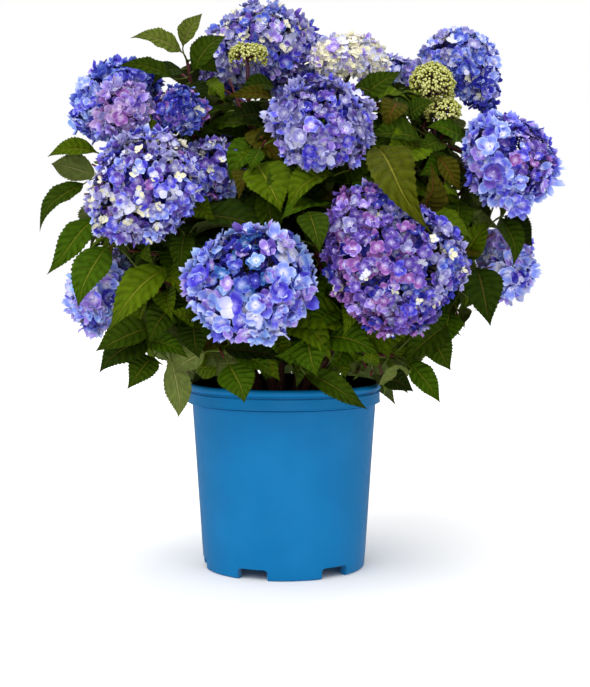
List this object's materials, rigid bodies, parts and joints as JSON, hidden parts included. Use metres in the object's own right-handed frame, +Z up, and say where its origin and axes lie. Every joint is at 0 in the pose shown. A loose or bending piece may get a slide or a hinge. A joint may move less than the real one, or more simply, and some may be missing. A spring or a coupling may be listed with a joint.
{
  "type": "potted hydrangea shrub",
  "caption": "Mophead hydrangea shrub in bloom with its blue nursery pot: canes, leaf masses, round flower heads and clusters of green buds.",
  "frame": {"origin": "centre of the pot's flat underside", "axes": "+Z up along the pot's axis; the front of the plant faces -Y, with +X to the viewer's right"},
  "size_m": [0.5843, 0.5258, 0.6846],
  "materials": {
    "pot_plastic": "satin blue moulded plastic outside, black inside",
    "potting_soil": "dark brown crumbly potting mix",
    "cane_bark": "reddish brown bark, woody and grey-brown at the foot",
    "foliage": "leaves, satin green above and matte grey-green below, on green twigs",
    "petals_blue": "matte periwinkle petals",
    "petals_violet": "matte violet-blue petals",
    "petals_lilac": "matte dusty lilac petals",
    "petals_deep_blue": "matte deep blue petals",
    "petals_cream": "matte cream petals with lilac edges",
    "flower_buds": "small closed yellow-green buds"
  },
  "bodies": {
    "root": {"pot": "pot_plastic", "soil": "potting_soil", "cane_front": "cane_bark", "cane_left": "cane_bark", "cane_upper_left": "cane_bark", "cane_top": "cane_bark", "cane_top_right": "cane_bark", "cane_right": "cane_bark", "cane_front_right": "cane_bark", "cane_low_right": "cane_bark", "cane_back_left": "cane_bark", "cane_back": "cane_bark", "cane_back_right": "cane_bark", "leaves_front": "foliage", "leaves_left": "foliage", "leaves_upper_left": "foliage", "leaves_top": "foliage", "leaves_top_right": "foliage", "leaves_right": "foliage", "leaves_front_right": "foliage", "leaves_low_right": "foliage", "leaves_back_left": "foliage", "leaves_back": "foliage", "leaves_back_right": "foliage", "bloom_front": "petals_blue", "bloom_left": "petals_violet", "bloom_left_low": "petals_blue", "bloom_upper_left": "petals_blue", "bloom_upper_left_dusky": "petals_lilac", "bloom_upper_left_inner": "petals_violet", "bloom_left_inner": "petals_violet", "bloom_top": "petals_blue", "bloom_centre": "petals_lilac", "bloom_top_pale": "petals_cream", "bloom_top_back": "petals_blue", "bloom_right_high": "petals_deep_blue", "bloom_right": "petals_violet", "bloom_front_right": "petals_violet", "bloom_right_low": "petals_blue", "bloom_back_right_low": "petals_violet", "bloom_back_left": "petals_blue", "bloom_back_left_high": "petals_lilac", "bloom_back_left_low": "petals_violet", "bloom_back": "petals_violet", "bloom_back_low": "petals_blue", "bloom_back_right": "petals_blue", "bloom_back_top": "petals_violet", "top_buds": "flower_buds", "right_buds": "flower_buds"}
  },
  "joints": []
}
